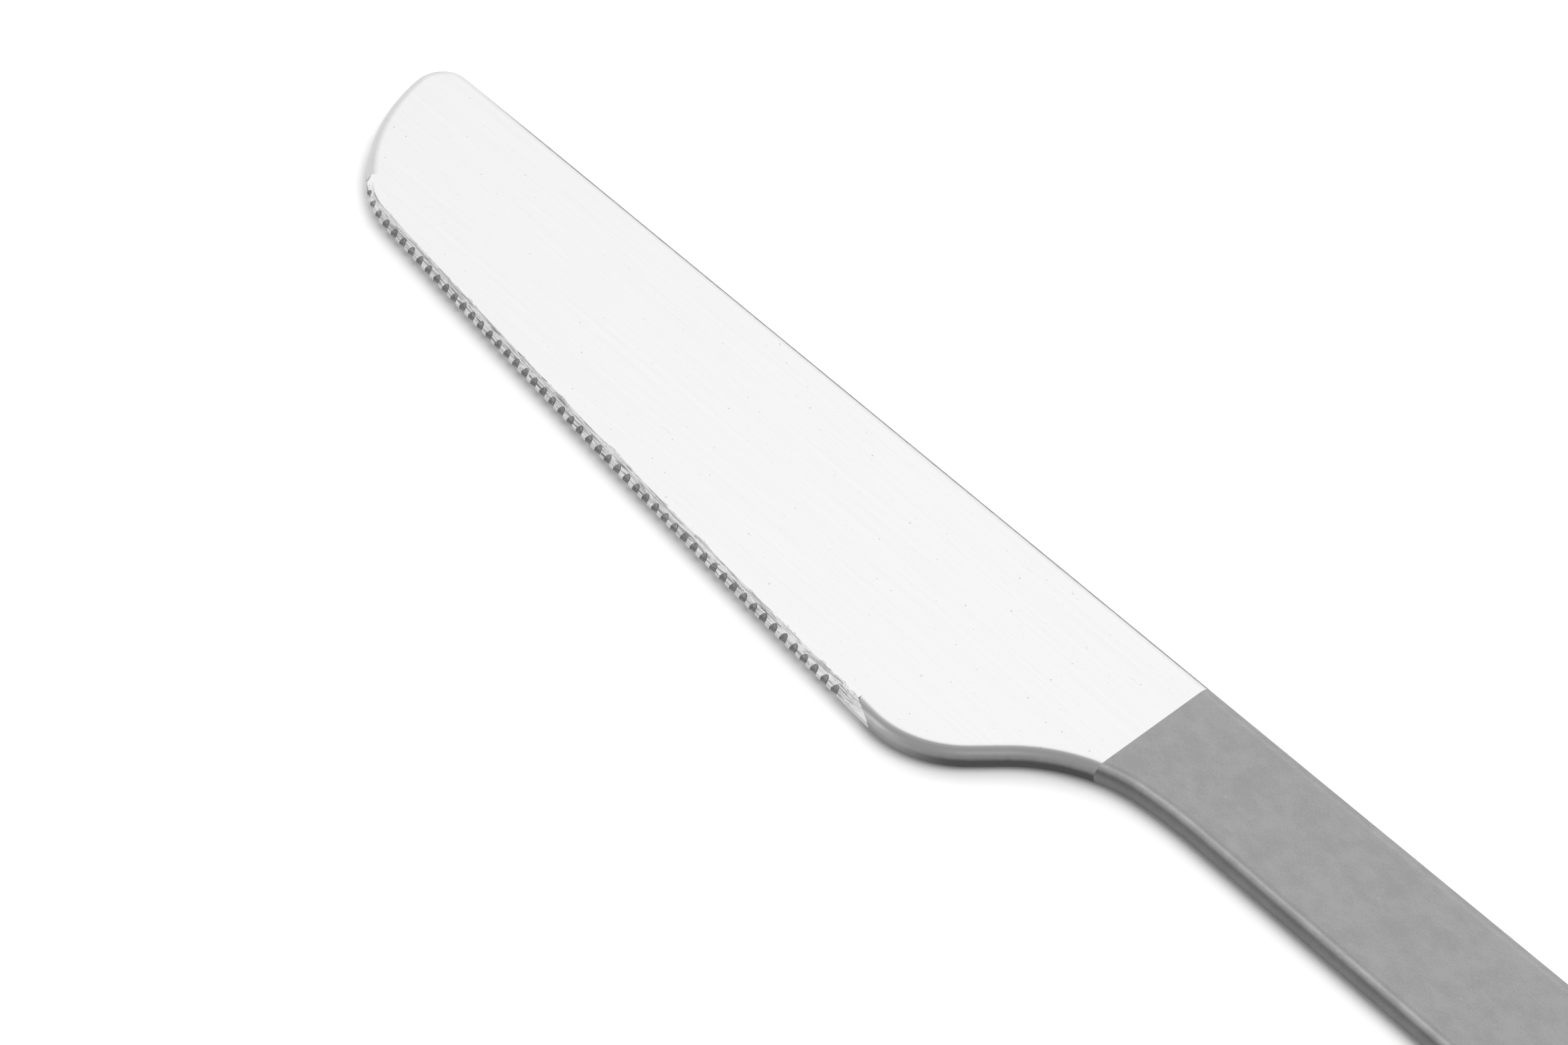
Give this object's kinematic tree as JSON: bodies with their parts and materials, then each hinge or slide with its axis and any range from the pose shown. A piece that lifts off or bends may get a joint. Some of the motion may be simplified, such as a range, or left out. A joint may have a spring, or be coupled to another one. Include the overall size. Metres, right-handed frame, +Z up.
{
  "type": "camping knife",
  "caption": "One-piece flat camping knife with a blunt rounded tip, a finely notched ground edge, a polished blade and a matte handle with a hanging hole.",
  "frame": {"origin": "middle of the knife's bounding box on the flat underside, where the knife lies on the table", "axes": "+X from the blade's tip towards the end of the handle, +Y from the cutting edge towards the spine, +Z up through the sheet's thickness"},
  "size_m": [0.19, 0.0192, 0.002],
  "materials": {
    "polished_steel": "bright polish with very faint fine lines along the blade",
    "ground_steel": "freshly ground bevel with short scratches across it",
    "blasted_steel": "matte bead-blasted grey with a faint mottling"
  },
  "bodies": {
    "root": {"blade": "polished_steel", "edge": "ground_steel", "handle": "blasted_steel"}
  },
  "joints": []
}
